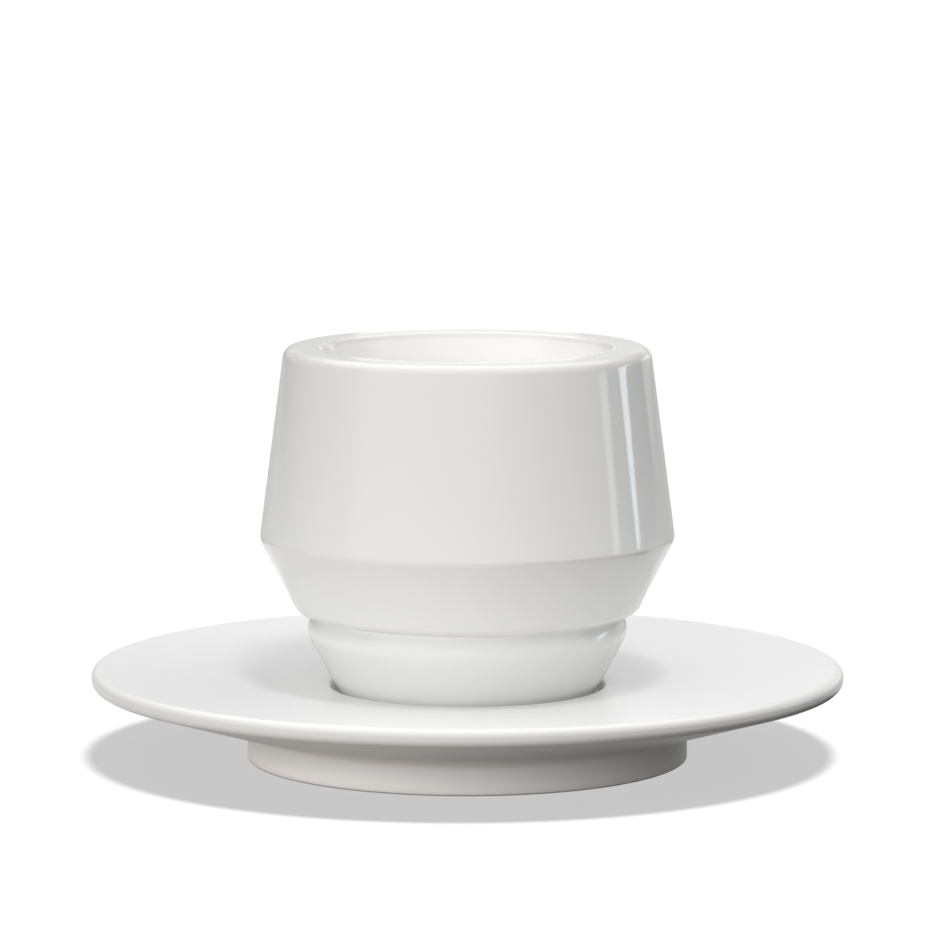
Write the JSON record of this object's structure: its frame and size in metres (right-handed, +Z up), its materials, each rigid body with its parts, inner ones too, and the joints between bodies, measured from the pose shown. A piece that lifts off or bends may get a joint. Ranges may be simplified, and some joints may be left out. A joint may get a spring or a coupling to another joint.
{
  "type": "cappuccino cup with saucer",
  "caption": "Handleless porcelain cappuccino cup of two cones above a stepped foot, standing in the well of a wide round saucer with a foot ring.",
  "frame": {"origin": "centre of the saucer's foot ring, in the plane of the table", "axes": "+Z up along the common axis of cup and saucer, +X to the right and +Y away from the viewer in the picture"},
  "size_m": [0.155, 0.155, 0.0852],
  "materials": {
    "cup_glaze": "clear gloss glaze on white porcelain",
    "saucer_glaze": "clear gloss glaze on white porcelain"
  },
  "bodies": {
    "saucer": {"saucer": "saucer_glaze"},
    "cup": {"cup": "cup_glaze"}
  },
  "joints": [
    {"name": "cup_lift", "type": "slide", "parent": "saucer", "child": "cup", "axis": [0, 0, 1], "range_m": [0, 0.06]}
  ]
}
